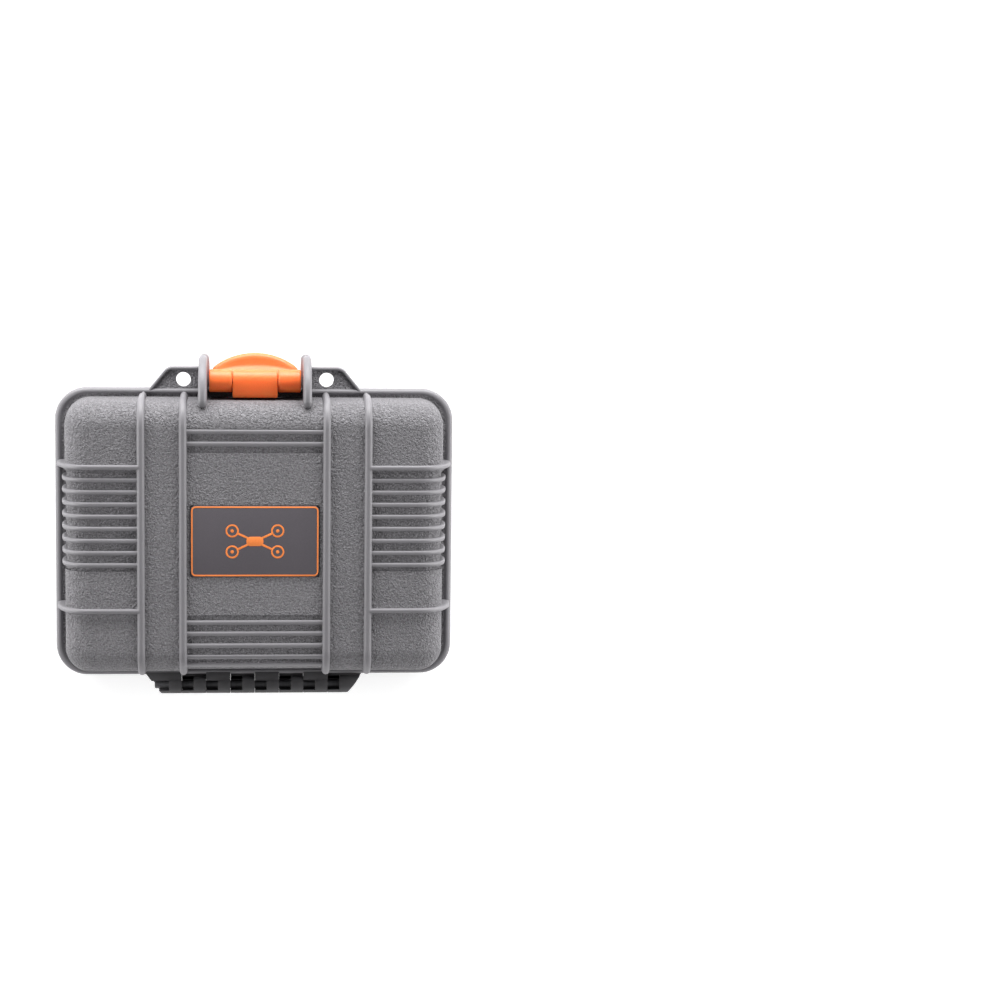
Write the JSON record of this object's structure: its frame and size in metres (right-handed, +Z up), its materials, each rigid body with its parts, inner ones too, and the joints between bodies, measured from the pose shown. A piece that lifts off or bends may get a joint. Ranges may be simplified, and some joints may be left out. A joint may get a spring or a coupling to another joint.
{
  "type": "drone carrying case",
  "caption": "Hinged hard carrying case in ribbed grey plastic with an orange draw latch, padlock ears, seal and cut foam for a small folding drone.",
  "frame": {"origin": "middle of the bounding box at the bottom, on the surface the case stands on", "axes": "+Z up through the lid, -Y towards the latch, +Y towards the hinge, +X along the width"},
  "size_m": [0.2134, 0.1856, 0.0822],
  "materials": {
    "shell": "fine leather grain, satin ribs",
    "latch": "satin",
    "steel": "blackened",
    "seal": "matte",
    "foam": "open cell foam",
    "label": "satin",
    "print": "printed"
  },
  "bodies": {
    "base": {"base_shell": "shell", "seal_ring": "seal", "hinge_pin": "steel", "base_foam_floor": "foam", "base_foam_tray": "foam"},
    "lid": {"lid_shell": "shell", "lid_foam": "foam", "label_plate": "label", "label_border": "print", "label_emblem": "print", "link_pin": "steel"},
    "link": {"latch_link": "latch"},
    "lever": {"latch_lever": "latch", "lever_pin": "steel"}
  },
  "joints": [
    {"name": "lid_hinge", "type": "hinge", "parent": "base", "child": "lid", "pos_m": [0, 0.088, 0.046], "axis": [-1, 0, 0], "range_deg": [0, 105]},
    {"name": "link_swing", "type": "hinge", "parent": "lid", "child": "link", "pos_m": [0, -0.0732, 0.0532], "axis": [1, 0, 0], "range_deg": [0, 42]},
    {"name": "lever_swing", "type": "hinge", "parent": "link", "child": "lever", "pos_m": [0, -0.0789, 0.0585], "axis": [-1, 0, 0], "range_deg": [0, 120]}
  ],
  "couplings": [
    {"joint": "link_swing", "follows": "lever_swing", "ratio": 0.35}
  ]
}
